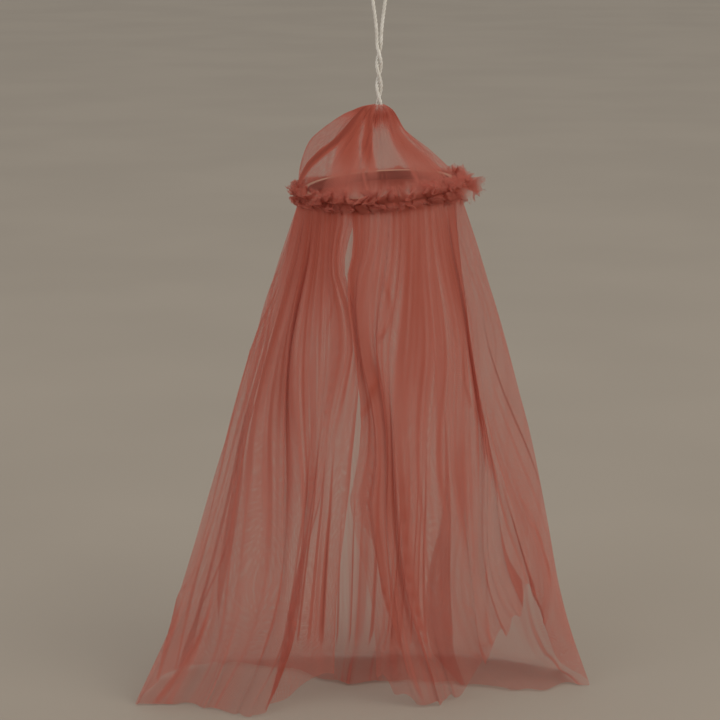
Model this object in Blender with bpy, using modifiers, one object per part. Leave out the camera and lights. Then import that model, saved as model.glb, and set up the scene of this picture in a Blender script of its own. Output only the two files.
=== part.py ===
"""Toy mosquito net canopy with its hoop, hung by a doubled cord.

Metres, +Z up. The origin is the point that a hook holds, under the top of the cord's loop. X runs to the right
and Y to the back as the open front is looked at. Heights are measured up from the surface that the hem reaches.
"""

import math
from collections import namedtuple

import bmesh
import bpy
from mathutils import Matrix, Vector

MM = 0.001

# Heights above the surface under the hem, in metres
HANG_HEIGHT = 0.459
CORD_TOP_HEIGHT = 0.4553
CORD_PART_HEIGHT = 0.416
APEX_HEIGHT = 0.378
CORD_FOOT_HEIGHT = 0.3735
HOOP_HEIGHT = 0.3255
KNEE_HEIGHT = 0.160
HEM_HEIGHT = 0.0006

# Hoop: a plain ring that holds the crown open, its right side up and its front side down
HOOP_OUTER_RADIUS = 0.0480
HOOP_WALL = 0.0035
HOOP_TALL = 0.006
HOOP_EDGE = 0.0008
HOOP_STEPS = 64
HOOP_RISE_RIGHT_DEG = 4.0
HOOP_DROP_FRONT_DEG = 2.5

# Cloth: tulle as a sheet of one millimetre, and the gap that parts touching pieces
CLOTH = 0.001
GAP = 0.0003
SEAM_RADIUS = HOOP_OUTER_RADIUS + 2 * GAP + CLOTH / 2

# Cord: three strands twisted, its two legs wound round each other above the crown
CORD_DIAMETER = 0.0022
CORD_LAY = 0.008
CORD_STEP = 0.0011
STRANDS = 3
STRAND_GROOVE = 0.8
PAIR_SPACING = CORD_DIAMETER + GAP
PAIR_LAY = 0.027
LEG_STEPS = 26
LOOP_SPACING = 0.0096
LOOP_STEPS = 6
KNOT_RADIUS = 0.0036
KNOT_TALL = 0.0066
KNOT_SWELL = 0.1

# Frill: a strip scrunched on a thread round the hoop, its two raw edges standing out. out and up: where an edge
# stands from the seam. right_out and right_up: the same at the hoop's right end, where it fans out. Sizes in mm.
FrillEdge = namedtuple("FrillEdge", "out up right_out right_up")
FRILL_EDGES = (
    FrillEdge(2.8, 5.0, 2.2, 10.4),
    FrillEdge(3.9, -6.2, 12.6, -7.2),
)
FRILL_COUNT = 27
FRILL_WAVE = 0.0011

# Skirt: each row of the table is the crest of one fold, from the front's left cut edge round by the back to the
# right one. at: place on the hoop in degrees, from the front towards the left. knee_x, knee_y: where the crest
# passes KNEE_HEIGHT. hem_x, hem_y, hem_up: where it ends or meets the surface. lies: length of hem that lies on
# the surface, drawn to the front. deep: how far the cloth falls back between this crest and the next. Sizes in mm.
Fold = namedtuple("Fold", "at knee_x knee_y hem_x hem_y hem_up lies deep")
FOLDS = (
    Fold(20, -17, -60, -28, -30, 18, 0, 5),
    Fold(32, -33, -60, -50, -45, 12, 0, 7),
    Fold(42, -45, -57, -66, -57, 2, 0, 8),
    Fold(50, -54, -52, -80, -62, 0, 0, 9),
    Fold(58, -63, -47, -92, -51, 5, 0, 7),
    Fold(66, -72, -40, -105, -42, 0, 0, 9),
    Fold(74, -79, -32, -119, -34, 4, 0, 8),
    Fold(82, -85, -24, -135, -33, 0, 0, 10),
    Fold(90, -91, -12, -157, -36, 0, 0, 9),
    Fold(101, -97, 6, -146, 10, 0, 0, 10),
    Fold(114, -92, 25, -128, 34, 0, 0, 9),
    Fold(128, -78, 39, -104, 48, 0, 8, 11),
    Fold(142, -60, 49, -78, 57, 0, 20, 9),
    Fold(156, -42, 55, -54, 62, 0, 36, 8),
    Fold(168, -27, 58, -32, 62, 0, 56, 7),
    Fold(178, -13, 59, -14, 60, 0, 60, 9),
    Fold(190, 6, 60, 8, 64, 0, 58, 8),
    Fold(203, 26, 57, 34, 64, 0, 60, 10),
    Fold(217, 46, 52, 58, 60, 0, 62, 9),
    Fold(231, 64, 44, 82, 54, 0, 64, 11),
    Fold(245, 82, 34, 104, 44, 0, 56, 9),
    Fold(258, 100, 18, 122, 30, 0, 30, 10),
    Fold(270, 89, 0, 139, -2, 0, 0, 9),
    Fold(280, 76, -14, 116, 0, 16, 0, 6),
    Fold(287, 73, -21, 99, -8, 66, 0, 5),
    Fold(294, 70, -28, 88, -20, 48, 0, 6),
    Fold(303, 61, -37, 72, -22, 28, 0, 7),
    Fold(314, 50, -46, 59, -16, 4, 0, 8),
    Fold(326, 38, -52, 44, -34, 0, 0, 6),
    Fold(340, 25, -57, 31, -42, 0, 0, 7),
    Fold(352, 14, -60, 19, -40, 4, 0, 5),
    Fold(364, 3, -62, 8, -37, 8, 0, 5),
    Fold(376, -8, -60, -2, -28, 18, 0, 5),
)
SKIRT_ROWS = 13
SAMPLES_PER_FOLD = 4
# How far the upper half bows out on the left and in on the right
BELLY_LEFT = 0.006
BELLY_RIGHT = -0.004
# The folds are full deep from FOLD_START of the way down, and at the top only FOLD_START_DEPTH of their depth.
# Between two crests the hem is shorter by TAIL_RISE.
FOLD_START = 0.12
FOLD_START_DEPTH = 0.4
TAIL_RISE = 0.02

# Crown: radius and height over the hoop's plane, in mm, along its left, its front and back, and its right
CrownRing = namedtuple("CrownRing", "left_out left_up front_out front_up right_out right_up")
CROWN_RINGS = (
    CrownRing(3.15, 52.4, 3.15, 52.4, 3.15, 52.4),
    CrownRing(7.4, 50.6, 7.2, 49.4, 7.4, 48.4),
    CrownRing(12.6, 47.8, 9.4, 44.0, 11.2, 43.2),
    CrownRing(21.0, 43.2, 12.5, 38.5, 15.6, 36.8),
    CrownRing(31.8, 37.2, 19.5, 31.5, 22.5, 31.0),
    CrownRing(40.5, 31.0, 28.5, 24.0, 30.5, 24.0),
    CrownRing(46.2, 22.5, 37.5, 16.5, 38.5, 16.0),
    CrownRing(49.2, 12.5, 44.5, 9.5, 44.6, 9.0),
    CrownRing(49.4, 5.0, 49.3, 4.0, 49.3, 4.0),
    CrownRing(49.1, 0.4, 49.1, 0.4, 49.1, 0.4),
)
CROWN_FOLDS = 12
CROWN_COLUMNS = 48
CROWN_FOLD_DEPTH = 0.0022
# The folds fade in below the knot and out above the hoop, by the share of the way from the top
CROWN_FOLDS_IN = 0.20
CROWN_FOLDS_OUT = 0.75


def clear_scene():
    for thing in list(bpy.data.objects):
        bpy.data.objects.remove(thing, do_unlink=True)


def new_collection():
    collection = bpy.data.collections.new("mosquito_net_canopy")
    bpy.context.scene.collection.children.link(collection)
    return collection


def material(name, colour, roughness):
    finish = bpy.data.materials.new(name)
    finish.use_nodes = True
    shader = finish.node_tree.nodes["Principled BSDF"]
    shader.inputs["Base Color"].default_value = (*colour, 1)
    shader.inputs["Roughness"].default_value = roughness
    shader.inputs["Metallic"].default_value = 0
    return finish


def above_floor(height):
    """The Z of a height above the surface under the hem."""
    return height - HANG_HEIGHT


def smooth(x):
    x = min(max(x, 0), 1)
    return x * x * (3 - 2 * x)


def hoop_frame():
    """The hoop's plane: its centre, right side up and front side down."""
    tilt = Matrix.Rotation(math.radians(-HOOP_RISE_RIGHT_DEG), 4, "Y")
    tilt = tilt @ Matrix.Rotation(math.radians(HOOP_DROP_FRONT_DEG), 4, "X")
    return Matrix.Translation((0, 0, above_floor(HOOP_HEIGHT))) @ tilt


def on_hoop(degrees, radius, up):
    """A point by its angle from the front towards the left, its radius and its height over the hoop's plane."""
    turn = math.radians(degrees)
    return hoop_frame() @ Vector((-radius * math.sin(turn), -radius * math.cos(turn), up))


def curve_through(points, at):
    """A smooth curve through points that are one step apart, read at a number of steps."""
    step = min(int(at), len(points) - 2)
    part = at - step
    before = points[max(step - 1, 0)]
    start, end = points[step], points[step + 1]
    after = points[min(step + 2, len(points) - 1)]
    lead_in, lead_out = (end - before) / 2, (after - start) / 2
    p2, p3 = part * part, part * part * part
    return (
        start * (2 * p3 - 3 * p2 + 1)
        + lead_in * (p3 - 2 * p2 + part)
        + end * (3 * p2 - 2 * p3)
        + lead_out * (p3 - p2)
    )


def link(name, mesh, finish, collection):
    part = bpy.data.objects.new(name, mesh)
    part.data.materials.append(finish)
    collection.objects.link(part)
    return part


def cloth(name, place, across, along, closed, finish, collection):
    """A sheet laid from a flat grid: place(u, v) gives each point, with u across and v along from 0 to 1."""
    bm = bmesh.new()
    bmesh.ops.create_grid(bm, x_segments=across, y_segments=along, size=0.5)
    for vert in bm.verts:
        vert.co = place(vert.co.x + 0.5, 0.5 - vert.co.y)
    if closed:
        bmesh.ops.remove_doubles(bm, verts=bm.verts, dist=0.00001)
    bmesh.ops.recalc_face_normals(bm, faces=bm.faces)
    mesh = bpy.data.meshes.new(name)
    bm.to_mesh(mesh)
    bm.free()
    mesh.shade_smooth()
    sheet = link(name, mesh, finish, collection)
    wall = sheet.modifiers.new("Thickness", "SOLIDIFY")
    wall.thickness = CLOTH
    wall.offset = 0
    return sheet


def fold_path(fold, share):
    """A point of one crest: down from the hoop by the knee to the hem, then along the surface."""
    top = on_hoop(fold.at, SEAM_RADIUS, -GAP)
    hem = Vector((fold.hem_x * MM, fold.hem_y * MM, above_floor(HEM_HEIGHT + fold.hem_up * MM)))
    knee = Vector((fold.knee_x * MM, fold.knee_y * MM, above_floor(KNEE_HEIGHT)))
    drop = (hem - top).length
    run = share * (drop + fold.lies * MM)
    down = min(run / drop, 1)
    # A parabola through top, knee and hem, by the share of the fall at which the knee lies
    bend = (knee.z - top.z) / (hem.z - top.z)
    point = (
        top * ((down - bend) * (down - 1) / bend)
        + knee * (down * (down - 1) / (bend * (bend - 1)))
        + hem * (down * (down - bend) / (1 - bend))
    )
    outward = Vector((point.x, point.y, 0)).normalized()
    side = math.sin(math.radians(fold.at))
    belly = BELLY_LEFT * max(side, 0) + BELLY_RIGHT * max(-side, 0)
    point += outward * belly * math.sin(math.pi * down) * (1 - down)
    point.y -= max(run - drop, 0)
    return point


def skirt_point(u, v):
    at = u * (len(FOLDS) - 1)
    row = min(int(at), len(FOLDS) - 2)
    between = (1 - math.cos(2 * math.pi * (at - row))) / 2
    share = v * (1 - TAIL_RISE * between)
    point = curve_through([fold_path(fold, share) for fold in FOLDS], at)
    inward = -Vector((point.x, point.y, 0)).normalized()
    reach = smooth(v / FOLD_START) * (FOLD_START_DEPTH + (1 - FOLD_START_DEPTH) * v)
    return point + inward * FOLDS[row].deep * MM * between * reach


def make_skirt(finish, collection):
    columns = (len(FOLDS) - 1) * SAMPLES_PER_FOLD
    cloth("skirt", skirt_point, columns, SKIRT_ROWS, False, finish, collection)


def crown_point(u, v):
    degrees = 360 * u
    side = math.sin(math.radians(degrees))
    left, right = max(side, 0) ** 2, max(-side, 0) ** 2
    front = 1 - left - right
    rings = [
        Vector(
            (
                ring.left_out * left + ring.front_out * front + ring.right_out * right,
                ring.left_up * left + ring.front_up * front + ring.right_up * right,
                0,
            )
        )
        for ring in CROWN_RINGS
    ]
    profile = curve_through(rings, v * (len(rings) - 1)) * MM
    turn = math.radians(degrees)
    rise = smooth(v / CROWN_FOLDS_IN) * smooth((1 - v) / (1 - CROWN_FOLDS_OUT))
    pleat = CROWN_FOLD_DEPTH * rise * math.cos(turn * CROWN_FOLDS)
    radius = profile.x + pleat / 2
    up = profile.y + pleat / 3
    # The cord holds the top straight over the centre, and only the lower edge follows the tilted hoop
    level = Vector((-radius * math.sin(turn), -radius * math.cos(turn), above_floor(HOOP_HEIGHT) + up))
    free = (up - HOOP_TALL) / (APEX_HEIGHT - HOOP_HEIGHT - HOOP_TALL)
    return on_hoop(degrees, radius, up).lerp(level, smooth(free))


def make_crown(finish, collection):
    cloth("crown", crown_point, CROWN_COLUMNS, len(CROWN_RINGS) - 1, True, finish, collection)


def ruffle_point(u, v):
    """v runs from the upper raw edge, by the seam at the hoop, to the lower one."""
    degrees = 360 * u
    edge = FRILL_EDGES[0] if v < 0.5 else FRILL_EDGES[1]
    from_seam = abs(2 * v - 1)
    right = max(-math.sin(math.radians(degrees)), 0) ** 8
    out = edge.out + (edge.right_out - edge.out) * right
    up = edge.up + (edge.right_up - edge.up) * right
    wave = math.cos(2 * math.pi * FRILL_COUNT * u) + math.sin(2 * math.pi * (FRILL_COUNT // 3) * u) / 2
    seam = SEAM_RADIUS + CLOTH + 2 * GAP
    radius = seam + from_seam * (out * MM + FRILL_WAVE * wave)
    return on_hoop(degrees, radius, from_seam * (up * MM + FRILL_WAVE * wave / 2))


def make_ruffle(finish, collection):
    cloth("ruffle", ruffle_point, FRILL_COUNT * SAMPLES_PER_FOLD, 4, True, finish, collection)


def make_hoop(finish, collection):
    """A ring turned from its section, which runs down its outer side."""
    outer, inner = HOOP_OUTER_RADIUS, HOOP_OUTER_RADIUS - HOOP_WALL
    half, edge = HOOP_TALL / 2, HOOP_EDGE
    section = (
        (outer - edge, half),
        (outer, half - edge),
        (outer, edge - half),
        (outer - edge, -half),
        (inner + edge, -half),
        (inner, edge - half),
        (inner, half - edge),
        (inner + edge, half),
    )
    bm = bmesh.new()
    verts = [bm.verts.new((x, 0, z)) for x, z in section]
    for start, end in zip(verts, verts[1:] + verts[:1]):
        bm.edges.new((start, end))
    mesh = bpy.data.meshes.new("hoop")
    bm.to_mesh(mesh)
    bm.free()
    ring = link("hoop", mesh, finish, collection)
    ring.matrix_world = hoop_frame()
    turn = ring.modifiers.new("Turn", "SCREW")
    turn.steps = turn.render_steps = HOOP_STEPS
    turn.use_merge_vertices = True
    turn.merge_threshold = 0.00001
    turn.use_smooth_shade = False


def leg_point(height, side):
    """A point of one leg of the cord: wound round the other low down, then apart towards the loop."""
    wound = max(CORD_PART_HEIGHT - height, 0) / PAIR_LAY * 2 * math.pi
    apart = smooth((height - CORD_PART_HEIGHT) / (CORD_TOP_HEIGHT - CORD_PART_HEIGHT))
    reach = side * (PAIR_SPACING + (LOOP_SPACING - PAIR_SPACING) * apart) / 2
    return Vector((reach * math.cos(wound), reach * math.sin(wound), above_floor(height)))


def cord_route():
    """The cord from its first end in the crown, over the loop and back to the second end."""
    leg = CORD_TOP_HEIGHT - CORD_FOOT_HEIGHT
    heights = [CORD_FOOT_HEIGHT + leg * step / LEG_STEPS for step in range(LEG_STEPS + 1)]
    left = [leg_point(height, -1) for height in heights]
    right = [leg_point(height, 1) for height in reversed(heights)]
    radius = LOOP_SPACING / 2
    centre = above_floor(CORD_TOP_HEIGHT)
    over = [
        Vector((-radius * math.cos(turn), 0, centre + radius * math.sin(turn)))
        for turn in (math.pi * step / LOOP_STEPS for step in range(1, LOOP_STEPS))
    ]
    return left + over + right


def make_cord(finish, collection):
    """Three strands: a lobed section that turns along the route once in each lay."""
    route = cord_route()
    lengths = [0.0]
    for start, end in zip(route, route[1:]):
        lengths.append(lengths[-1] + (end - start).length)
    count = round(lengths[-1] / CORD_STEP)

    lobes = bpy.data.curves.new("cord_section", "CURVE")
    lobes.dimensions = "2D"
    ring = lobes.splines.new("POLY")
    ring.points.add(2 * STRANDS - 1)
    ring.use_cyclic_u = True
    for corner, point in enumerate(ring.points):
        radius = CORD_DIAMETER / 2 * (1 if corner % 2 == 0 else STRAND_GROOVE)
        turn = -math.pi * corner / STRANDS
        point.co = (radius * math.cos(turn), radius * math.sin(turn), 0, 1)
    section = bpy.data.objects.new("cord_section", lobes)
    section.hide_render = True
    section.display_type = "WIRE"
    collection.objects.link(section)

    curve = bpy.data.curves.new("cord", "CURVE")
    curve.dimensions = "3D"
    curve.bevel_mode = "OBJECT"
    curve.bevel_object = section
    curve.use_fill_caps = True
    line = curve.splines.new("POLY")
    line.points.add(count)
    step = 0
    for number, point in enumerate(line.points):
        run = lengths[-1] * number / count
        while step < len(lengths) - 2 and lengths[step + 1] < run:
            step += 1
        part = (run - lengths[step]) / (lengths[step + 1] - lengths[step])
        point.co = (*curve_through(route, step + part), 1)
        point.tilt = 2 * math.pi * run / CORD_LAY
    link("cord", curve, finish, collection)


def make_knot(finish, collection):
    """The knot of the cord's two ends: a ball of three turns that wind round it."""
    bm = bmesh.new()
    bmesh.ops.create_uvsphere(bm, u_segments=18, v_segments=10, radius=1)
    for vert in bm.verts:
        turn = math.atan2(vert.co.y, vert.co.x)
        swell = 1 + KNOT_SWELL * math.cos(STRANDS * turn + 4 * vert.co.z) * (1 - vert.co.z**2)
        vert.co.x *= KNOT_RADIUS * swell
        vert.co.y *= KNOT_RADIUS * swell
        vert.co.z *= KNOT_TALL / 2
    mesh = bpy.data.meshes.new("cord_knot")
    bm.to_mesh(mesh)
    bm.free()
    mesh.shade_smooth()
    knot = link("cord_knot", mesh, finish, collection)
    knot.location.z = above_floor(CORD_FOOT_HEIGHT - GAP - KNOT_TALL / 2)


def build():
    clear_scene()
    collection = new_collection()
    tulle = material("coral tulle", (0.42, 0.10, 0.08), 0.85)
    cotton = material("white cotton cord", (0.72, 0.68, 0.60), 0.9)
    wood = material("pale wood", (0.62, 0.46, 0.30), 0.6)
    make_hoop(wood, collection)
    make_crown(tulle, collection)
    make_ruffle(tulle, collection)
    make_skirt(tulle, collection)
    make_knot(cotton, collection)
    make_cord(cotton, collection)
    bpy.context.view_layer.update()


build()
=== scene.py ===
"""Toy mosquito net canopy with its hoop: the looks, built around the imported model.

Metres, +Z up. The origin is the point that a hook holds, under the top of the cord's loop. X runs to the
right and Y to the back as the open front is looked at. Heights are measured up from the surface that the hem
reaches.
"""

import math

import bmesh
import bpy
import numpy as np
from mathutils import Matrix, Vector, noise


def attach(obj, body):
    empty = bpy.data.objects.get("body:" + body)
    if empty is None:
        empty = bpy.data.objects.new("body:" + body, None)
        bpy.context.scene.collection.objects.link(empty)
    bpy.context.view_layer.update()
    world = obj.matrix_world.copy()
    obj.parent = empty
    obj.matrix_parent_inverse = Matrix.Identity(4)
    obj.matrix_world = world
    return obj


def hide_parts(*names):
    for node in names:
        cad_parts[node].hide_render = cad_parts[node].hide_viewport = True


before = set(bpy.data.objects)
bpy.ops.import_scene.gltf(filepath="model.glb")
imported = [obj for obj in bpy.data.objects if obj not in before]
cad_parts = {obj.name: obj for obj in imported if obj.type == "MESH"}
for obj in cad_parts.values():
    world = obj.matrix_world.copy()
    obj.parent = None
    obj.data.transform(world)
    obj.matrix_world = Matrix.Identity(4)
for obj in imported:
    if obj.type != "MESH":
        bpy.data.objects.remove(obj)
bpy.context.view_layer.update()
bpy.ops.object.select_all(action="DESELECT")


# Camera: it stands 1.5 m in front of the canopy and looks a little down on it, as in the photograph, where
# the cord hangs a little right of the middle. The net lets light through many layers, one after another.
HANG_HEIGHT = 0.459
CAMERA_DISTANCE = 1.5
CAMERA_HEIGHT = 0.5365
CAMERA_DOWN_DEG = 12.05
CAMERA_LENS_MM = 121.45
CAMERA_SHIFT = -0.0264


def above_floor(height):
    """The Z of a height above the surface under the hem."""
    return height - HANG_HEIGHT


camera = bpy.data.objects.new("camera", bpy.data.cameras.new("camera"))
camera.data.lens = CAMERA_LENS_MM
camera.data.shift_x = CAMERA_SHIFT
camera.location = (0, -CAMERA_DISTANCE, above_floor(CAMERA_HEIGHT))
camera.rotation_euler = (math.radians(90 - CAMERA_DOWN_DEG), 0, 0)
bpy.context.scene.collection.objects.link(camera)
bpy.context.scene.camera = camera
bpy.context.scene.cycles.transparent_max_bounces = 64
bpy.context.scene.view_settings.view_transform = "Standard"


# Floor and light: a plain pale surface, a large soft lamp at the right, a weaker one at the left front and
# an even glow from all round.
FLOOR_SIZE = 24.0
FLOOR_COLOUR = (0.34, 0.297, 0.248)
FLOOR_DROP = 0.0004
GLOW_COLOUR = (1.0, 0.97, 0.92)
GLOW_STRENGTH = 0.60
LAMPS = (
    ("key_lamp", (3.0, -2.2, 2.6), 3.0, 72.0, (1.0, 0.94, 0.85)),
    ("fill_lamp", (-2.6, -2.8, 1.5), 2.6, 30.0, (0.96, 0.97, 1.0)),
)


class Signal:
    """A socket of a finish. Sums and products of signals and numbers add Math nodes to that finish."""

    def __init__(self, tree, socket=None):
        self.tree = tree
        self.socket = socket

    def node(self, kind, settings, sockets, output=0):
        """The output of a new node, whose settings are set before the values or links of its sockets."""
        new = self.tree.nodes.new(kind)
        for name, value in settings.items():
            if name == "stops":
                for stop, (place, colour) in zip(new.color_ramp.elements, value):
                    stop.position = place
                    stop.color = (*colour, 1)
            else:
                setattr(new, name, value)
        for name, value in sockets.items():
            if isinstance(value, Signal):
                self.tree.links.new(value.socket, new.inputs[name])
            else:
                new.inputs[name].default_value = value
        return Signal(self.tree, new.outputs[output])

    def math(self, operation, *values):
        return self.node("ShaderNodeMath", {"operation": operation}, dict(enumerate(values)))

    def range(self, start, end, low=0.0, high=1.0):
        """low where this signal is at start, high where it is at end, and a soft step between."""
        sockets = {"Value": self, "From Min": start, "From Max": end, "To Min": low, "To Max": high}
        return self.node("ShaderNodeMapRange", {"interpolation_type": "SMOOTHSTEP"}, sockets)

    def blend(self, low, high):
        """The colour low where this signal is 0 and high where it is 1."""
        sockets = {"Factor": self, 6: low, 7: high}
        return self.node("ShaderNodeMix", {"data_type": "RGBA"}, sockets, 2)

    def __add__(self, other):
        return self.math("ADD", self, other)

    def __sub__(self, other):
        return self.math("SUBTRACT", self, other)

    def __rsub__(self, other):
        return self.math("SUBTRACT", other, self)

    def __mul__(self, other):
        return self.math("MULTIPLY", self, other)

    __radd__ = __add__
    __rmul__ = __mul__


def new_finish(name, **sockets):
    """A material, the signal that starts its nodes, and its shader with the given sockets set."""
    material = bpy.data.materials.new(name)
    material.use_nodes = True
    shader = material.node_tree.nodes["Principled BSDF"]
    for socket, value in sockets.items():
        shader.inputs[socket.replace("_", " ")].default_value = value
    return material, Signal(material.node_tree), shader


def feed(shader, socket, signal):
    signal.tree.links.new(signal.socket, shader.inputs[socket])


def speckle(start, place, size, detail=2.0):
    """Noise from 0 to 1 whose spots are about size metres wide."""
    sockets = {"Vector": place, "Scale": 1 / size, "Detail": detail}
    return start.node("ShaderNodeTexNoise", {}, sockets)


bpy.ops.mesh.primitive_plane_add(size=FLOOR_SIZE, location=(0, 0, above_floor(-FLOOR_DROP)))
floor = bpy.context.object
floor.name = "floor"
floor_finish, start, shader = new_finish("pale_floor", Roughness=0.85)
place = start.node("ShaderNodeTexCoord", {}, {}, "Object")
cloudy = speckle(start, place, 0.35).range(0.3, 0.7)
feed(shader, "Base Color", cloudy.blend((*FLOOR_COLOUR, 1), (*[c * 1.06 for c in FLOOR_COLOUR], 1)))
floor.data.materials.append(floor_finish)

world = bpy.data.worlds.new("glow")
world.use_nodes = True
world.node_tree.nodes["Background"].inputs["Color"].default_value = (*GLOW_COLOUR, 1)
world.node_tree.nodes["Background"].inputs["Strength"].default_value = GLOW_STRENGTH
bpy.context.scene.world = world

for name, position, size, watts, colour in LAMPS:
    lamp = bpy.data.objects.new(name, bpy.data.lights.new(name, "AREA"))
    lamp.data.size = size
    lamp.data.energy = watts
    lamp.data.color = colour
    lamp.location = position
    aim = Vector((0, 0, above_floor(0.2))) - lamp.location
    lamp.rotation_euler = aim.to_track_quat("-Z", "Y").to_euler()
    bpy.context.scene.collection.objects.link(lamp)


# Cord: one length of white cotton cord of three strands, doubled. Both ends go into the top of the crown,
# the two legs wind round each other above it, part, and close in a loop that hangs on a hook.
CORD_TOP_HEIGHT = 0.4553
CORD_PART_HEIGHT = 0.416
CORD_FOOT_HEIGHT = 0.3735
CORD_DIAMETER = 0.0022
CORD_LAY = 0.0080
CORD_STEP = 0.00040
STRANDS = 3
STRAND_SIDES = 10
# How far a strand's middle lies from the cord's, and half its thickness, as shares of the cord's diameter
STRAND_OUT = 0.25
STRAND_THICK = 0.262
PAIR_SPACING = 0.0025
PAIR_LAY = 0.027
LEG_STEPS = 26
LOOP_SPACING = 0.0096
LOOP_STEPS = 6


def smooth(x):
    x = np.clip(x, 0, 1)
    return x * x * (3 - 2 * x)


def leg_point(height, side):
    """A point of one leg of the cord: wound round the other low down, then apart towards the loop."""
    wound = max(CORD_PART_HEIGHT - height, 0) / PAIR_LAY * 2 * math.pi
    apart = float(smooth((height - CORD_PART_HEIGHT) / (CORD_TOP_HEIGHT - CORD_PART_HEIGHT)))
    reach = side * (PAIR_SPACING + (LOOP_SPACING - PAIR_SPACING) * apart) / 2
    return (reach * math.cos(wound), reach * math.sin(wound), above_floor(height))


def cord_route():
    """The cord from its first end in the crown, over the loop and back to the second end."""
    leg = CORD_TOP_HEIGHT - CORD_FOOT_HEIGHT
    heights = [CORD_FOOT_HEIGHT + leg * step / LEG_STEPS for step in range(LEG_STEPS + 1)]
    left = [leg_point(height, -1) for height in heights]
    right = [leg_point(height, 1) for height in reversed(heights)]
    radius = LOOP_SPACING / 2
    over = [
        (-radius * math.cos(turn), 0, above_floor(CORD_TOP_HEIGHT) + radius * math.sin(turn))
        for turn in (math.pi * step / LOOP_STEPS for step in range(1, LOOP_STEPS))
    ]
    return np.array(left + over + right)


def curve_through(points, at):
    """A smooth curve through points that are one step apart, read at an array of steps."""
    step = np.clip(np.floor(at).astype(int), 0, len(points) - 2)
    part = (at - step)[..., None]
    before, start = points[np.maximum(step - 1, 0)], points[step]
    end, after = points[step + 1], points[np.minimum(step + 2, len(points) - 1)]
    lead_in, lead_out = (end - before) / 2, (after - start) / 2
    p2, p3 = part**2, part**3
    return (
        start * (2 * p3 - 3 * p2 + 1)
        + lead_in * (p3 - 2 * p2 + part)
        + end * (3 * p2 - 2 * p3)
        + lead_out * (p3 - p2)
    )


def lengths_along(points):
    steps = np.linalg.norm(np.diff(points, axis=0), axis=1)
    return np.concatenate([[0.0], np.cumsum(steps)])


def even_line(points, spacing, closed=False):
    """A line through the points, read about one spacing apart."""
    rough = curve_through(points, np.linspace(0, len(points) - 1, 12 * len(points)))
    run = lengths_along(rough)
    marks = np.linspace(0, run[-1], max(int(run[-1] / spacing), 2) + 1)
    if closed:
        marks = marks[:-1]
    return np.stack([np.interp(marks, run, rough[:, axis]) for axis in range(3)], axis=1)


def new_piece(name, mesh, finish):
    """Links a finished mesh as a piece of the object."""
    piece = bpy.data.objects.new(name, mesh)
    mesh.materials.append(finish)
    bpy.context.scene.collection.objects.link(piece)
    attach(piece, "root")
    return piece


def strand_mesh(name, line, diameter, lay, closed):
    """Twisted cord along a line: each strand is a tube that winds round the line once in each lay.
    The map "strand" holds the distance along a strand and the place round it, in metres."""
    count = len(line)
    ahead = np.roll(line, -1, axis=0) - np.roll(line, 1, axis=0)
    if not closed:
        ahead[0], ahead[-1] = line[1] - line[0], line[-1] - line[-2]
    ahead /= np.linalg.norm(ahead, axis=1)[:, None]
    side = np.zeros_like(ahead)
    side[0] = np.cross(ahead[0], (0.0, 1.0, 0.1))
    side[0] /= np.linalg.norm(side[0])
    for number in range(1, count):
        side[number] = side[number - 1] - ahead[number] * np.dot(side[number - 1], ahead[number])
        side[number] /= np.linalg.norm(side[number])
    other = np.cross(ahead, side)
    run = np.arange(count) * np.linalg.norm(line[1] - line[0])
    if closed:
        # The frame's own twist round the loop is taken out, and the lays come out whole
        total = run[-1] + np.linalg.norm(line[1] - line[0])
        back = side[-1] - ahead[0] * np.dot(side[-1], ahead[0])
        slip = math.atan2(np.dot(back, other[0]), np.dot(back, side[0]))
        turns = (round(total / lay) * 2 * math.pi - slip) / total
    else:
        turns = 2 * math.pi / lay
    radius = diameter * STRAND_OUT
    thick = diameter * STRAND_THICK
    turn = [2 * math.pi * corner / STRAND_SIDES for corner in range(STRAND_SIDES)]
    bm = bmesh.new()
    strand_map = bm.loops.layers.uv.new("strand")
    for strand in range(STRANDS):
        angle = run * turns + 2 * math.pi * strand / STRANDS
        across = side * np.cos(angle)[:, None] + other * np.sin(angle)[:, None]
        centre = line + across * radius
        around = np.cross(ahead, across)
        rings = []
        for number in range(count):
            out, over = across[number], around[number]
            places = [centre[number] + thick * (math.cos(t) * out + math.sin(t) * over) for t in turn]
            rings.append([bm.verts.new(place) for place in places])
        last = count if closed else count - 1
        for number in range(last):
            lower, upper = rings[number], rings[(number + 1) % count]
            for corner in range(STRAND_SIDES):
                after = (corner + 1) % STRAND_SIDES
                face = bm.faces.new((lower[corner], lower[after], upper[after], upper[corner]))
                face.smooth = True
                here, ahead_of_it = number, number + 1
                ends = ((here, corner), (here, corner + 1), (ahead_of_it, corner + 1), (ahead_of_it, corner))
                for loop, (along, round_it) in zip(face.loops, ends):
                    loop[strand_map].uv = (along * run[1], 2 * math.pi * thick * round_it / STRAND_SIDES)
        if not closed:
            bm.faces.new(list(reversed(rings[0])))
            bm.faces.new(rings[-1])
    mesh = bpy.data.meshes.new(name)
    bm.to_mesh(mesh)
    bm.free()
    return mesh


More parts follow.
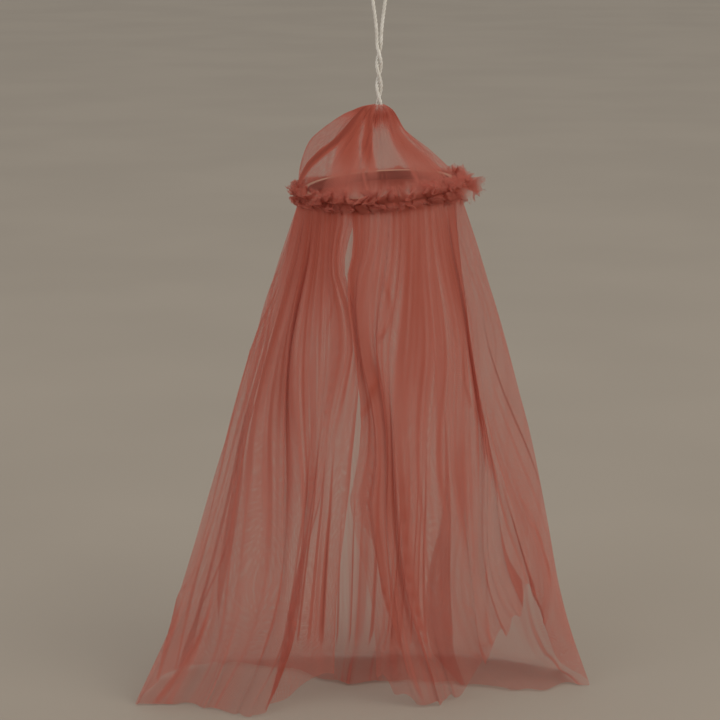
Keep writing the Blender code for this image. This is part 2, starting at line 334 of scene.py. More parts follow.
cotton, start, shader = new_finish("white_cotton", Roughness=0.9, Sheen_Weight=0.35, Sheen_Roughness=0.6)
strand = start.node("ShaderNodeUVMap", {"uv_map": "strand"}, {})
stretched = start.node("ShaderNodeMapping", {}, {"Vector": strand, "Scale": (350, 2600, 1)})
hairs = start.node("ShaderNodeTexNoise", {}, {"Vector": stretched, "Scale": 1.0, "Detail": 3.0})
patches = speckle(start, start.node("ShaderNodeTexCoord", {}, {}, "Object"), 0.006)
tone = hairs.range(0.25, 0.75) * 0.6 + patches.range(0.3, 0.7) * 0.4
feed(shader, "Base Color", tone.blend((0.56, 0.52, 0.45, 1), (0.86, 0.84, 0.79, 1)))
raised_hairs = start.node("ShaderNodeBump", {}, {"Height": hairs, "Strength": 0.5, "Distance": 0.0002})
feed(shader, "Normal", raised_hairs)

route = cord_route()
cord_line = even_line(route, CORD_STEP)
cord_mesh = strand_mesh("canopy_cord", cord_line, CORD_DIAMETER, CORD_LAY, False)
cord = new_piece("canopy_cord", cord_mesh, cotton)
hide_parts("cord")


# Cord knot: the two cord ends are tied in a knot inside the gathered top, which holds the crown up. Its
# cord winds through itself as in an overhand knot, and it shows as a pale patch through the net.
KNOT_RADIUS = 0.0036
KNOT_TALL = 0.0066
KNOT_CORD = 0.0019
KNOT_POINTS = 60
KNOT_LAY = CORD_LAY * 0.8
KNOT_BELOW_CORD = 0.0003

turn = np.linspace(0, 2 * math.pi, KNOT_POINTS + 1)
loops = np.stack(
    [np.sin(turn) + 2 * np.sin(2 * turn), np.cos(turn) - 2 * np.cos(2 * turn), -np.sin(3 * turn)], axis=1
)
room = np.array([KNOT_RADIUS - KNOT_CORD / 2, KNOT_RADIUS - KNOT_CORD / 2, KNOT_TALL / 2 - KNOT_CORD / 2])
loops = loops / np.array([3.0, 3.0, 1.0]) * room
loops[:, 2] += above_floor(CORD_FOOT_HEIGHT - KNOT_BELOW_CORD - KNOT_TALL / 2)
knot_line = even_line(loops, CORD_STEP, closed=True)
knot_mesh = strand_mesh("tied_knot", knot_line, KNOT_CORD, KNOT_LAY, True)
knot = new_piece("tied_knot", knot_mesh, cotton)
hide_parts("cord_knot")


# Crown: a square of coral tulle gathered and tied round the knot. It spreads in folds over the hoop,
# balloons on the left, runs nearly straight on the right, and is sewn on round the hoop.
MM = 0.001
APEX_HEIGHT = 0.378
HOOP_HEIGHT = 0.3255
HOOP_RISE_RIGHT_DEG = 4.0
HOOP_DROP_FRONT_DEG = 2.5
HOOP_OUTER_RADIUS = 0.0480
HOOP_TALL = 0.006
NET_CELL = 0.0011
# The net's colour: NET_LIT where it lies open, and copies painted darker as shade where it is gathered thick,
# first NET_HALF_SHADE, then NET_SHADE. NET_THROUGH is the colour of light that comes through it.
NET_LIT = (0.64, 0.215, 0.165)
NET_HALF_SHADE = (0.45, 0.108, 0.070)
NET_SHADE = (0.25, 0.050, 0.032)
NET_THROUGH = (0.58, 0.18, 0.135)
GATHER_AND_SHADE_LEAST = -0.35
GATHER_AND_SHADE_MOST = 1.6
# Radius and height over the hoop's plane, in mm, along the crown's left, its front and back, and its right
CROWN_RINGS = np.array(
    (
        # left out, left up, front out, front up, right out, right up
        (3.15, 52.4, 3.15, 52.4, 3.15, 52.4),
        (8.4, 50.9, 7.2, 49.4, 7.6, 48.6),
        (16.0, 48.2, 9.4, 44.0, 11.8, 43.4),
        (25.0, 43.6, 12.5, 38.5, 16.4, 37.0),
        (34.0, 37.4, 19.5, 31.5, 23.0, 31.2),
        (41.4, 31.0, 28.5, 24.0, 30.8, 24.2),
        (46.2, 22.5, 37.5, 16.5, 38.5, 16.0),
        (49.2, 12.5, 44.5, 9.5, 44.6, 9.0),
        (49.4, 5.0, 49.3, 4.0, 49.3, 4.0),
        (49.1, 0.4, 49.1, 0.4, 49.1, 0.4),
    )
)
# Folds that lie over as bands of two or three layers, from the gathered top to the hoop: their place at four
# heights in degrees from the front towards the left, half their width at the top and at the hoop, and how
# much closer the net is at both, which also paints it darker, as shade
CROWN_BANDS = np.array(
    (
        # top, upper, lower, hoop, half width at the top and at the hoop, thick at the top and at the hoop
        (58, 51, 67, 90, 8.0, 3.6, 1.60, 1.15),
        (52, 42, 28, 25, 3.0, 20.0, 1.05, 0.42),
        (48, 31, 11, 5, 3.0, 1.3, 0.30, 0.45),
        (36, 17, 6, 4, 11.0, 4.5, 1.25, 0.10),
        (-52, -43, -48, -55, 13.0, 18.0, 0.85, 0.50),
        (-80, -74, -72, -72, 3.0, 1.3, 0.45, 0.45),
        (-46, -38, -33, -32, 5.0, 2.0, 0.30, 0.40),
        (-88, -94, -100, -106, 4.0, 2.0, 0.40, 0.40),
        (-120, -126, -129, -130, 6.0, 4.0, 0.45, 0.45),
        (-165, -154, -150, -152, 5.0, 3.0, 0.35, 0.35),
        (150, 156, 158, 156, 6.0, 4.0, 0.35, 0.35),
        (120, 128, 136, 140, 3.0, 1.6, 0.35, 0.35),
        (76, 90, 98, 106, 3.0, 1.6, 0.45, 0.45),
    ),
    float,
)
CROWN_BAND_HEIGHTS = (0.10, 0.40, 0.70, 1.00)
CROWN_BAND_RAISED = 0.0011
CROWN_PLEATS = 46
CROWN_COLUMNS = 9 * CROWN_PLEATS
CROWN_ROWS = 72


def hoop_frame():
    """The hoop's plane: its centre, right side up and front side down."""
    tilt = Matrix.Rotation(math.radians(-HOOP_RISE_RIGHT_DEG), 4, "Y")
    tilt = tilt @ Matrix.Rotation(math.radians(HOOP_DROP_FRONT_DEG), 4, "X")
    return np.array(Matrix.Translation((0, 0, above_floor(HOOP_HEIGHT))) @ tilt)


def on_hoop(turn, radius, up):
    """Points by their angle from the front towards the left, radius and height over the hoop's plane."""
    turn, radius, up = np.broadcast_arrays(turn, radius, up)
    flat = np.stack([-radius * np.sin(turn), -radius * np.cos(turn), up], axis=-1)
    tilted = hoop_frame()
    return flat @ tilted[:3, :3].T + tilted[:3, 3]


def waver(across, along, seed):
    """Smooth noise between about -1 and 1 on a grid of places."""
    across, along = np.broadcast_arrays(across, along)
    values = [noise.noise(Vector((x, y, seed))) for x, y in zip(across.ravel(), along.ravel())]
    return 2 * np.array(values).reshape(across.shape)


def cloth_mesh(name, points, net_u, net_v, gather_and_shade, closed):
    """A sheet from a grid of points, rows down and columns across. The map "net" holds the place on the flat
    cloth in metres, and the attribute "gather_and_shade" says how tightly the net is drawn together and how
    much shade is painted on it there."""
    rows, columns = points.shape[:2]
    wide = columns if closed else columns - 1
    row, column = np.meshgrid(np.arange(rows - 1), np.arange(wide), indexing="ij")
    after = (column + 1) % columns
    upper, lower = row * columns, (row + 1) * columns
    corners = [upper + column, lower + column, lower + after, upper + after]
    faces = np.stack(corners, axis=-1).reshape(-1, 4)
    mesh = bpy.data.meshes.new(name)
    mesh.from_pydata(points.reshape(-1, 3).tolist(), [], faces.tolist())
    mesh.shade_smooth()
    steps = ((0, 0), (1, 0), (1, 1), (0, 1))
    u = np.stack([net_u[row + down, column + right] for down, right in steps], axis=-1)
    v = np.stack([net_v[row + down, column + right] for down, right in steps], axis=-1)
    net_map = mesh.uv_layers.new(name="net")
    net_map.data.foreach_set("uv", np.stack([u, v], axis=-1).ravel().astype(np.float32))
    tight = mesh.attributes.new("gather_and_shade", "FLOAT", "POINT")
    tight.data.foreach_set("value", np.clip(gather_and_shade, GATHER_AND_SHADE_LEAST, GATHER_AND_SHADE_MOST).ravel().astype(np.float32))
    return mesh


def flat_places(points, closed):
    """The place of each point of a grid on the flat cloth, from the lengths across and down it."""
    across = np.linalg.norm(np.diff(points, axis=1), axis=2)
    if closed:
        joint = np.linalg.norm(points[:, :1] - points[:, -1:], axis=2)
        across = np.concatenate([across, joint], axis=1)
    width = np.percentile(across, 96, axis=0)
    down = np.linalg.norm(np.diff(points, axis=0), axis=2).mean(axis=1)
    u = np.concatenate([[0.0], np.cumsum(width)])
    v = np.concatenate([[0.0], np.cumsum(down)])
    return np.meshgrid(u, v)


def net_finish():
    """Coral tulle: six-sided holes between fine threads, closer where it is gathered, and there painted
    darker as shade.
    """
    sheen = {"Specular_IOR_Level": 0.15, "Sheen_Weight": 0.12}
    material, start, shader = new_finish("coral_tulle", Roughness=0.8, **sheen)
    shader.inputs["Sheen Tint"].default_value = (0.95, 0.5, 0.42, 1)
    place = start.node("ShaderNodeUVMap", {"uv_map": "net"}, {})
    drift = start.node("ShaderNodeTexNoise", {}, {"Vector": place, "Scale": 60.0, "Detail": 1.0}, "Color")
    drift = start.node("ShaderNodeVectorMath", {"operation": "SCALE"}, {0: drift, "Scale": NET_CELL * 1.2})
    place = start.node("ShaderNodeVectorMath", {"operation": "ADD"}, {0: place, 1: drift})
    pitch = 4 * math.pi / (math.sqrt(3) * NET_CELL)
    waves = 0.0
    for degrees in (0, 120, 240):
        way = (pitch * math.cos(math.radians(degrees)), pitch * math.sin(math.radians(degrees)), 0)
        run = start.node("ShaderNodeVectorMath", {"operation": "DOT_PRODUCT"}, {0: place, 1: way}, "Value")
        waves = run.math("COSINE", run) + waves
    gather_and_shade = start.node("ShaderNodeAttribute", {"attribute_name": "gather_and_shade"}, {}, "Fac")
    waves = waves * gather_and_shade.range(0.05, 0.45, 1.0, 0.15)
    threads = (waves - gather_and_shade * 1.9).range(0.15, -1.15)
    cover = threads * 0.66 + gather_and_shade * 0.27 + 0.07
    soft = speckle(start, place, 0.03).range(0.3, 0.7)
    # Painted shade: where the net is gathered it is coloured darker, from NET_LIT to NET_HALF_SHADE and,
    # where several layers lie, to NET_SHADE. There it also takes less of the light from behind.
    deep = gather_and_shade.range(0.25, 1.0) * 0.85 + soft * 0.15
    layers = gather_and_shade.range(0.85, 1.5)
    feed(shader, "Base Color", layers.blend(deep.blend((*NET_LIT, 1), (*NET_HALF_SHADE, 1)), (*NET_SHADE, 1)))
    # The threads are round and thin, so light from behind shows on them too, and the holes are clear
    through = start.node("ShaderNodeBsdfTranslucent", {}, {"Color": (*NET_THROUGH, 1)})
    lit = Signal(start.tree, shader.outputs[0])
    cloth = start.node("ShaderNodeMixShader", {}, {0: 0.5 - layers * 0.35, 1: lit, 2: through})
    clear = start.node("ShaderNodeBsdfTransparent", {}, {})
    net = start.node("ShaderNodeMixShader", {}, {0: cover, 1: clear, 2: cloth})
    start.tree.links.new(net.socket, start.tree.nodes["Material Output"].inputs["Surface"])
    return material


def crease(pleat, width):
    """1 on the crests and troughs of pleats, falling to 0 within a share of a pleat."""
    return 1 - smooth(np.abs(pleat * 2 - np.round(pleat * 2)) / width)


tulle = net_finish()
u, v = np.meshgrid(np.arange(CROWN_COLUMNS) / CROWN_COLUMNS, np.linspace(0, 1, CROWN_ROWS))
turn = 2 * math.pi * u
side = np.sin(turn)
left, right = np.maximum(side, 0) ** 2, np.maximum(-side, 0) ** 2
front = 1 - left - right
rings = curve_through(CROWN_RINGS, v * (len(CROWN_RINGS) - 1))
radius = MM * (rings[..., 0] * left + rings[..., 2] * front + rings[..., 4] * right)
up = MM * (rings[..., 1] * left + rings[..., 3] * front + rings[..., 5] * right)
pleat = u * CROWN_PLEATS
number = np.floor(pleat).astype(int) % CROWN_PLEATS
chance = np.random.default_rng(7)
depth = chance.uniform(0.2, 1.2, CROWN_PLEATS)[number]
ends = chance.uniform(0.15, 0.75, CROWN_PLEATS)[number]
fold = smooth(v / 0.08) * smooth((1 - v) / 0.10) * (1 - 0.9 * smooth((v - ends) / 0.35))
trough = (1 - np.cos(2 * math.pi * pleat)) / 2
drop = 0.0011 * depth * fold * trough
crown_gather_and_shade = -0.03 + 0.18 * crease(pleat, 0.22) * fold * depth + 0.08 * waver(u * 26, v * 2.0, 5.5)
# The gathered top lies doubled, closer towards the top. This also paints light and shade on it: darker as
# shade below the top on the left, and lighter as painted light at the very apex and on the right.
doubled_and_shaded = (1.10 - 0.25 * right) * smooth((0.44 - v) / 0.32) * (0.35 + 0.65 * smooth((v - 0.07) / 0.12))
doubled_and_shaded = doubled_and_shaded + 0.18 * waver(side * 3, v * 4.0, 3.9) * smooth((0.5 - v) / 0.3)
raised = np.zeros_like(u)
for *places, wide_top, wide_hoop, thick_top, thick_hoop in CROWN_BANDS:
    height_step = (v - CROWN_BAND_HEIGHTS[0]) / (CROWN_BAND_HEIGHTS[1] - CROWN_BAND_HEIGHTS[0])
    middle = curve_through(np.array(places)[:, None], np.clip(height_step, 0, 3))[..., 0]
    middle = middle + 2.0 * waver(places[-1] + 0 * v, v * 2.5, 6.6) * np.sin(math.pi * v)
    wide = wide_top + (wide_hoop - wide_top) * v
    away = np.abs((np.degrees(turn) - middle + 180) % 360 - 180) / wide
    band = smooth((1.25 - away) / 0.5) * smooth(v / 0.12)
    thick = thick_top + (thick_hoop - thick_top) * smooth((v - 0.45) / 0.35)
    doubled_and_shaded = np.maximum(doubled_and_shaded, thick * band * (1 - 0.25 * smooth((away - 0.1) / 0.8)))
    crown_gather_and_shade += 0.15 * np.exp(-(((away - 1) / 0.14) ** 2)) * smooth(v / 0.12) * (wide_hoop > 5)
    raised += CROWN_BAND_RAISED * band * smooth((1 - v) / 0.15)
crown_gather_and_shade += np.maximum(doubled_and_shaded, 0.75 * smooth((v - 0.86) / 0.10))
radius = radius - drop * 0.5 + raised * 0.5
ripple = 0.0010 * waver(u * 9, v * 3, 8.7) * smooth(v / 0.2) * smooth((1 - v) / 0.2)
up = up - drop * 0.45 + raised * 0.4 + ripple
level = np.stack([-radius * np.sin(turn), -radius * np.cos(turn), above_floor(HOOP_HEIGHT) + up], axis=-1)
free = smooth((up - HOOP_TALL) / (APEX_HEIGHT - HOOP_HEIGHT - HOOP_TALL))[..., None]
crown_points = on_hoop(turn, radius, up) * (1 - free) + level * free
net_u, net_v = flat_places(crown_points, True)
crown_mesh = cloth_mesh("crown_net", crown_points, net_u, net_v, crown_gather_and_shade, True)
crown = new_piece("crown_net", crown_mesh, tulle)
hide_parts("crown")


# Hoop: a ring of bent wood, its edges a little rounded. Its wood is coloured a dark red-brown as painted
# shade on the inner face, and the faces that look up carry a painted highlight. It holds the crown open, and
# only its far rim shows, through the net.
HOOP_WALL = 0.0035
HOOP_ROUNDING = 0.0008
HOOP_SIDES = 160
hoop_wood, start, shader = new_finish("bent_wood", Roughness=0.55)
place = start.node("ShaderNodeTexCoord", {}, {}, "Object")
grain_place = start.node("ShaderNodeMapping", {}, {"Vector": place, "Scale": (90, 90, 1400)})
grain = start.node("ShaderNodeTexNoise", {}, {"Vector": grain_place, "Scale": 1.0, "Detail": 4.0})
facing = start.node("ShaderNodeTexCoord", {}, {}, "Normal")
# Painted highlight and painted shade: faces that look up are pale, as if lit from above, and the rest of the
# wood is coloured dark red-brown for the shade on its inner face. The grain varies it.
painted_top_light = start.node("ShaderNodeSeparateXYZ", {}, {0: facing}, "Z").range(0.45, 0.95)
wood_in_painted_shade = grain.range(0.35, 0.65).blend((0.120, 0.022, 0.014, 1), (0.165, 0.036, 0.022, 1))
feed(shader, "Base Color", painted_top_light.blend(wood_in_painted_shade, (0.55, 0.40, 0.27, 1)))
raised_grain = start.node("ShaderNodeBump", {}, {"Height": grain, "Strength": 0.3, "Distance": 0.0002})
feed(shader, "Normal", raised_grain)
bpy.ops.mesh.primitive_cylinder_add(
    vertices=HOOP_SIDES, radius=HOOP_OUTER_RADIUS, depth=HOOP_TALL, end_fill_type="NOTHING"
)
hoop = bpy.context.object
wall = hoop.modifiers.new("Wall", "SOLIDIFY")
wall.thickness = HOOP_WALL
wall.offset = -1.0
bpy.ops.object.modifier_apply(modifier="Wall")
rounded = hoop.modifiers.new("Rounded", "BEVEL")
rounded.width = HOOP_ROUNDING
rounded.segments = 3
rounded.limit_method = "ANGLE"
bpy.ops.object.modifier_apply(modifier="Rounded")
bpy.ops.object.shade_smooth_by_angle(angle=math.radians(50))
hoop.data.transform(Matrix(hoop_frame().tolist()))
hoop.name = "hoop_ring"
hoop.data.materials.append(hoop_wood)
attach(hoop, "root")
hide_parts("hoop")
bpy.ops.object.select_all(action="DESELECT")


# Frill: a strip of the same tulle scrunched on a thread and sewn round the hoop over the seam of crown and
# skirt. Its two raw edges stand out in loops and points, and at the right end it fans out.
CLOTH_GAP = 0.0022
FRILL_LOOPS = 38
FRILL_COLUMNS = 28 * FRILL_LOOPS
FRILL_ROWS = 21
# How wide each half of the strip is, how steeply it stands from level, and how far it swings to and fro: at
# the front, the back and the right end, in mm and degrees
FRILL_UPPER = np.array(((9.0, 66.0, 34.0), (3.4, 72.0, 12.0), (8.8, 52.0, 44.0)))
FRILL_LOWER = np.array(((5.6, -56.0, 36.0), (6.2, -64.0, 18.0), (15.0, -12.0, 26.0)))
# The larger loops at the front, in degrees from the front towards the left
FRILL_ROSETTES = (52, 41, 26, 12, 6, -4, -20, -38, -50)
ROSETTE_WIDE_DEG = 3.5
FRILL_LOOP_SWING = 0.0023
FRILL_SWAY = 0.0022
FRILL_CRUMPLE = 0.0015

u, v = np.meshgrid(np.arange(FRILL_COLUMNS) / FRILL_COLUMNS, np.linspace(-1, 1, FRILL_ROWS))
edge = np.abs(v)
around = 2 * math.pi * u
right_end = np.maximum(-np.sin(around), 0) ** 8
at_back = smooth((-np.cos(around) - 0.1) / 0.6) * (1 - right_end)
halves = np.where((v < 0)[..., None, None], FRILL_UPPER, FRILL_LOWER)
shares = np.stack([1 - right_end - at_back, at_back, right_end], axis=-1)[..., None]
width, steep, swing = np.moveaxis((halves * shares).sum(axis=-2), -1, 0)
from_each = [np.abs((np.degrees(around) - place + 180) % 360 - 180) for place in FRILL_ROSETTES]
rosette = np.exp(-((np.stack(from_each).min(axis=0) / ROSETTE_WIDE_DEG) ** 2))
chance = np.random.default_rng(21)
size = chance.uniform(0.6, 1.3, FRILL_LOOPS)
size = np.interp(u * FRILL_LOOPS, np.arange(FRILL_LOOPS + 1), np.append(size, size[0]))
side = np.where(v < 0, 0.0, 0.37)
loop = u * FRILL_LOOPS + side + 0.7 * waver(np.cos(around) * 5, np.sin(around) * 5 + side, 1.7)
phase = 2 * math.pi * loop
steep = steep + swing * size * (1 + 0.7 * rosette) * np.sin(phase + 1.6 * edge)
curl = waver(np.cos(around) * 13, np.sin(around) * 13 + v, 4.2)
steep = np.radians(steep + 16 * curl * edge)
spike = chance.uniform(-1, 1, (2, FRILL_COLUMNS))[np.where(v < 0, 0, 1), np.arange(FRILL_COLUMNS)[None, :]]
reach = MM * width * edge * (1 + 0.10 * curl + (0.10 + 0.06 * right_end) * spike * smooth((edge - 0.8) / 0.2))
seam = HOOP_OUTER_RADIUS + CLOTH_GAP
crumple = FRILL_CRUMPLE * edge * waver(np.cos(around) * 26, np.sin(around) * 26 + 2 * v, 9.4)
radius = seam + reach * np.cos(steep) + crumple
up = reach * np.sin(steep) + 0.7 * crumple
sway = FRILL_LOOP_SWING * edge * size * (1 + rosette) * np.cos(2 * phase + 0.5)
sway += FRILL_SWAY * edge * waver(np.cos(around) * 15, np.sin(around) * 15 + 2 * v, 5.2)
radius = np.maximum(radius, seam - 0.0006)
frill_points = on_hoop(around + sway / HOOP_OUTER_RADIUS, radius, up)
# Painted light and shade on the curls: towards the edges the net is closer and darker in some patches and
# sheerer and lighter in others, standing in for the shading of the loops.
patchy = waver(np.cos(around) * 18, np.sin(around) * 18 + v, 2.9)
frill_gather_and_shade = 0.36 + 0.50 * (1 - edge) + 0.55 * patchy * edge
frill_gather_and_shade -= (0.25 + 0.58 * right_end) * smooth((edge - 0.45) / 0.5)
net_u, net_v = flat_places(frill_points, True)
frill_mesh = cloth_mesh("frill", frill_points, net_u, net_v, frill_gather_and_shade, True)
frill = new_piece("frill", frill_mesh, tulle)
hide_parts("ruffle")


# Skirt: one long length of the same tulle, gathered on the hoop all round, its two cut edges meeting at the
# front. It hangs in uneven folds and pleats, wider to both sides than to front and back, and its hem
# reaches the floor.
KNEE_HEIGHT = 0.160
HEM_HEIGHT = 0.0008
SEAM_RADIUS = 0.0491
BELLY_LEFT = 0.006
BELLY_RIGHT = -0.004
# Each row is the crest of one fold, from the front's left cut edge round by the back to the right one. at:
# place on the hoop in degrees. knee: where it passes KNEE_HEIGHT. hem: where it ends. lies: length on the
# floor. deep: how far the cloth falls back to the next crest, and lean: how far that hollow lies over to
# the next crest, in fold widths. pleats: small pleats up to the next crest. rise: how much shorter the hem
# is between the two crests. Sizes in mm.
FOLDS = np.array(
    (
        # at, knee x, knee y, hem x, hem y, hem up, lies, deep, lean, pleats, rise
        (20, -17, -60, -28, -30, 18, 0, 4, 0.3, 2, 6),
        (32, -33, -60, -50, -45, 12, 0, 6, 0.7, 2, 6),
        (42, -45, -57, -73, -58, 1, 0, 8, 0.9, 2, 1),
        (50, -54, -52, -84, -60, 0, 0, 8, 0.8, 2, 1),
        (58, -63, -47, -93, -54, 0, 0, 8, 0.9, 2, 1),
        (66, -72, -40, -106, -47, 0, 0, 9, 0.7, 2, 1),
        (74, -79, -32, -119, -40, 0, 0, 9, 0.8, 2, 1),
        (82, -85, -24, -135, -37, 0, 0, 6, 0.3, 1, 1),
        (90, -91, -12, -155, -36, 0, 0, 5, 0.1, 1, 4),
        (101, -97, 6, -146, 10, 0, 0, 6, 0.2, 1, 5),
        (114, -92, 25, -128, 34, 0, 0, 8, -0.5, 2, 6),
        (128, -78, 39, -104, 48, 0, 8, 9, -0.7, 2, 4),
        (142, -60, 49, -78, 57, 0, 20, 9, -0.6, 2, 3),
        (156, -42, 55, -54, 62, 0, 36, 8, -0.5, 4, 3),
        (168, -27, 58, -32, 62, 0, 56, 7, 0.4, 3, 3),
        (178, -13, 59, -14, 60, 0, 60, 8, 0.5, 4, 3),
        (190, 6, 60, 8, 64, 0, 58, 8, 0.5, 4, 3),
        (203, 26, 57, 34, 64, 0, 60, 9, 0.6, 2, 3),
        (217, 46, 52, 58, 60, 0, 62, 9, 0.6, 2, 3),
        (231, 64, 44, 82, 54, 0, 64, 9, 0.4, 2, 4),
        (245, 82, 34, 104, 44, 0, 56, 8, 0.2, 2, 4),
        (258, 100, 18, 122, 30, 0, 30, 6, 0.1, 1, 6),
        (270, 89, 0, 137, -2, 0, 0, 6, -0.1, 1, 2),
        (280, 76, -14, 116, 0, 16, 0, 5, -0.3, 1, 8),
        (287, 73, -21, 99, -8, 66, 0, 5, -0.6, 2, 14),
        (294, 70, -28, 88, -20, 48, 0, 6, -0.7, 2, 12),
        (303, 61, -37, 72, -22, 28, 0, 7, -0.8, 2, 12),
        (314, 50, -46, 59, -16, 4, 0, 8, -0.9, 2, 8),
        (326, 38, -52, 44, -34, 0, 0, 7, -1.0, 3, 4),
        (340, 25, -57, 31, -42, 0, 0, 7, -0.9, 3, 4),
        (352, 14, -60, 16, -40, 4, 0, 6, -0.8, 2, 6),
        (364, 3, -62, 8, -37, 8, 0, 5, -0.5, 2, 8),
        (376, -8, -60, -2, -32, 16, 0, 5, 0.0, 1, 0),
    ),
    float,
)
AT, KNEE_X, KNEE_Y, HEM_X, HEM_Y, HEM_UP, LIES, DEEP, LEAN, PLEATS, RISE = range(11)
# How closely the net lies for each fold, at five shares of the way down: 0 for one flat layer, more where
# several lie together, and less where it is drawn out sheer. Closer net is also painted darker, as shade.
NET_CLOSE_AT = (0.05, 0.30, 0.50, 0.72, 0.95)
NET_CLOSE = np.array(
    (
        # by the hoop, at the waist, at the knee, low, at the hem
        (0.30, 0.40, 0.35, 0.00, -0.20),
        (0.75, 0.45, 0.20, -0.10, -0.20),
        (0.95, 0.48, 0.18, -0.10, -0.20),
        (1.00, 0.50, 0.22, -0.02, -0.05),
        (0.95, 0.55, 0.30, 0.15, 0.05),
        (0.80, 0.55, 0.36, 0.30, 0.20),
        (0.60, 0.45, 0.25, 0.25, 0.20),
        (0.45, 0.25, -0.15, -0.20, -0.05),
        (0.30, -0.20, -0.60, -0.50, -0.20),
        (0.10, -0.40, -0.70, -0.70, -0.50),
        (0.05, -0.20, -0.35, -0.40, -0.40),
        (0.20, 0.05, -0.05, -0.10, -0.10),
        (0.20, 0.10, 0.05, 0.00, -0.10),
        (0.20, 0.10, 0.05, 0.00, 0.00),
        (0.10, 0.05, 0.05, 0.15, 0.15),
        (0.05, 0.00, 0.00, 0.30, 0.25),
        (0.05, 0.00, 0.00, 0.35, 0.25),
        (0.10, 0.05, 0.05, 0.25, 0.15),
        (0.15, 0.10, 0.05, 0.05, 0.00),
        (0.15, 0.05, -0.05, -0.30, -0.30),
        (0.05, -0.05, -0.10, -0.30, -0.30),
        (-0.10, -0.05, 0.00, -0.30, -0.20),
        (-0.20, 0.05, 0.25, 0.20, 0.20),
        (0.10, 0.30, 0.35, 0.28, 0.15),
        (0.45, 0.45, 0.42, 0.00, -0.20),
        (0.60, 0.50, 0.46, 0.08, -0.20),
        (0.65, 0.55, 0.46, 0.15, -0.20),
        (0.65, 0.58, 0.45, 0.18, -0.05),
        (0.60, 0.58, 0.42, 0.15, 0.00),
        (0.60, 0.58, 0.48, 0.38, 0.30),
        (0.62, 0.55, 0.50, 0.50, 0.45),
        (0.62, 0.55, 0.46, 0.48, 0.40),
        (0.60, 0.50, 0.38, 0.25, 0.10),
    )
)
# The front opening: the left and the right cut edge at heights over the floor, in mm
PARTING = np.array(
    (
        # up, left edge x, right edge x
        (0, -29, -1),
        (41, -28, -2),
        (66, -27, -4),
        (91, -25, -8),
        (116, -22, -14),
        (141, -19, -18),
        (150, -18, -16),
        (169, -16.5, -12.5),
        (188, -14.5, -11),
        (204, -13, -11.5),
        (235, -11, -15),
        (260, -14, -18.5),
        (281, -20.5, -19),
        (291, -20.5, -16.5),
        (302, -18, -15.5),
        (310, -15.5, -16),
        (318, -15, -16),
    ),
    float,
)
# Beyond these lines the front's outer folds stop, and only one sheer layer goes on: share of the way down,
# then the fold number where the left panel ends and where the right one begins
PANEL_ENDS = np.array(
    (
        # down, left panel, right panel
        (0.55, -0.6, 32.8),
        (0.68, -0.3, 31.4),
        (0.75, 0.4, 31.2),
        (0.82, 1.4, 30.9),
        (0.87, 2.4, 30.6),
        (0.91, 3.0, 30.2),
        (1.00, 3.1, 29.9),
    )
)
SINGLE_LAYER = -0.30
# Sharp creases across the folds: three places each, as fold number and share of the way down, then the half
# width in mm and how much closer the net is there, which also paints it darker there, as shade
CREASES = np.array(
    (
        # from: fold, down; by: fold, down; to: fold, down; half width, thick
        (28.1, 0.75, 27.3, 0.87, 26.7, 1.00, 1.1, 0.45),
        (28.0, 0.76, 27.8, 0.89, 27.2, 1.00, 1.0, 0.45),
        (25.4, 0.72, 26.5, 0.88, 26.7, 1.00, 1.1, 0.50),
        (24.0, 0.48, 23.0, 0.80, 22.8, 1.00, 1.6, 0.16),
        (22.3, 0.55, 22.1, 0.80, 22.2, 1.00, 1.2, 0.35),
        (24.1, 0.72, 24.5, 0.86, 24.8, 1.00, 1.1, 0.15),
        (6.4, 0.72, 8.0, 0.83, 7.6, 1.00, 1.9, 0.45),
        (5.9, 0.76, 6.1, 0.90, 6.2, 1.00, 1.5, 0.40),
        (0.4, 0.75, 2.4, 0.87, 3.1, 1.00, 1.3, 0.35),
        (2.4, 0.84, 1.9, 0.92, 1.6, 1.00, 1.0, 0.60),
        (31.1, 0.36, 31.2, 0.66, 30.1, 0.94, 1.1, 0.35),
        (30.6, 0.11, 29.6, 0.20, 30.0, 0.26, 1.3, 0.30),
        (30.0, 0.26, 30.7, 0.35, 32.0, 0.42, 1.3, 0.30),
        (26.7, 0.28, 26.9, 0.41, 25.7, 0.63, 1.3, 0.30),
        (4.2, 0.10, 4.4, 0.50, 4.3, 0.95, 2.6, 0.20),
        (1.2, 0.18, 1.5, 0.50, 3.0, 0.88, 1.2, 0.20),
        (7.9, 0.26, 6.1, 0.45, 6.1, 0.72, 1.2, 0.25),
        (28.6, 0.45, 28.9, 0.70, 28.5, 1.00, 1.5, 0.25),
        (29.6, 0.50, 29.3, 0.75, 29.2, 1.00, 1.2, 0.30),
    ),
    float,
)
CREASE_RAISED = 0.0009
FOLD_COLUMNS = 26
SKIRT_ROWS = 112
PATH_STEPS = 240
SKIRT_LENGTH = 0.34
LEAST_HEIGHT = 0.0004
# The back, in degrees from the front towards the left: where the folds wander less, and where sharp lines
# show
STEADY_FROM_DEG = 150
LINES_FROM_DEG = 156
BACK_TO_DEG = 212
BACK_EDGE_DEG = 8


